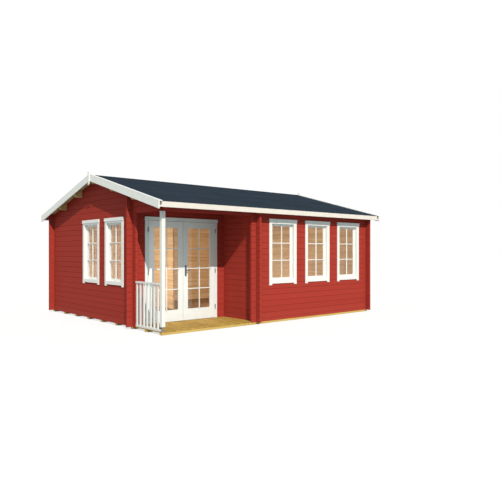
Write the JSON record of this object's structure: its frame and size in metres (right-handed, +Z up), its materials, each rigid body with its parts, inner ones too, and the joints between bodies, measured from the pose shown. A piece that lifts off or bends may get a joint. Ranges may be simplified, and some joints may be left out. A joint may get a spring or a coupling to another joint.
{
  "type": "log cabin",
  "caption": "Log cabin with cross-notched corner logs, a recessed corner porch with railing, a glazed double door, side and front windows and a low gable roof.",
  "frame": {"origin": "on the ground, at the middle of the overall plan", "axes": "+X along the long front from left to right, +Y from the front to the back, +Z up"},
  "size_m": [6.016, 5.266, 3.0088],
  "materials": {
    "red_logs": "satin",
    "bare_logs": "matte",
    "floor": "matte",
    "treated_timber": "matte",
    "roof_timber": "matte",
    "roof_covering": "rough",
    "white_paint": "satin",
    "glass": "polished",
    "dark_metal": "satin"
  },
  "bodies": {
    "house": {"foundation_beams": "treated_timber", "floor_boards": "floor", "porch_deck": "treated_timber", "front_wall": "red_logs", "front_top_logs": "red_logs", "back_wall": "red_logs", "door_wall_left": "red_logs", "door_wall_right": "red_logs", "door_wall_over": "red_logs", "left_gable_wall": "red_logs", "left_gable_top": "red_logs", "right_gable_wall": "red_logs", "porch_side_wall": "red_logs", "inner_wall": "bare_logs", "ridge_purlin": "roof_timber", "side_purlins": "roof_timber", "roof_boards_front": "roof_timber", "roof_boards_back": "roof_timber", "roof_covering_front": "roof_covering", "roof_covering_back": "roof_covering", "ridge_cap": "roof_covering", "fascia_front": "white_paint", "fascia_back": "white_paint", "bargeboards_front": "white_paint", "bargeboards_back": "white_paint", "verge_strips": "white_paint", "finials": "white_paint", "front_window_1": "white_paint", "front_window_2": "white_paint", "front_window_3": "white_paint", "left_window_1": "white_paint", "left_window_2": "white_paint", "window_casings": "white_paint", "window_glass": "glass", "door_frame": "white_paint", "door_casing": "white_paint", "frame_hinges": "dark_metal", "porch_post": "white_paint", "post_foot": "dark_metal", "porch_railing": "white_paint"},
    "left_door": {"left_door_leaf": "white_paint", "left_door_glass": "glass", "left_leaf_hinges": "dark_metal"},
    "right_door": {"right_door_leaf": "white_paint", "right_door_glass": "glass", "right_leaf_hinges": "dark_metal", "handle_plates": "dark_metal"},
    "lever": {"lever_handle": "dark_metal"}
  },
  "joints": [
    {"name": "left_door_hinge", "type": "hinge", "parent": "house", "child": "left_door", "pos_m": [-2.4785, -1.427, 0], "axis": [0, 0, -1], "range_deg": [0, 95]},
    {"name": "right_door_hinge", "type": "hinge", "parent": "house", "child": "right_door", "pos_m": [-0.9335, -1.427, 0], "axis": [0, 0, 1], "range_deg": [0, 95]},
    {"name": "lever_turn", "type": "hinge", "parent": "right_door", "child": "lever", "pos_m": [-1.6485, -1.399, 1.043], "axis": [0, 1, 0], "range_deg": [0, 40], "stiffness_Nm_per_rad": 1.5, "springref_deg": -17.19}
  ]
}
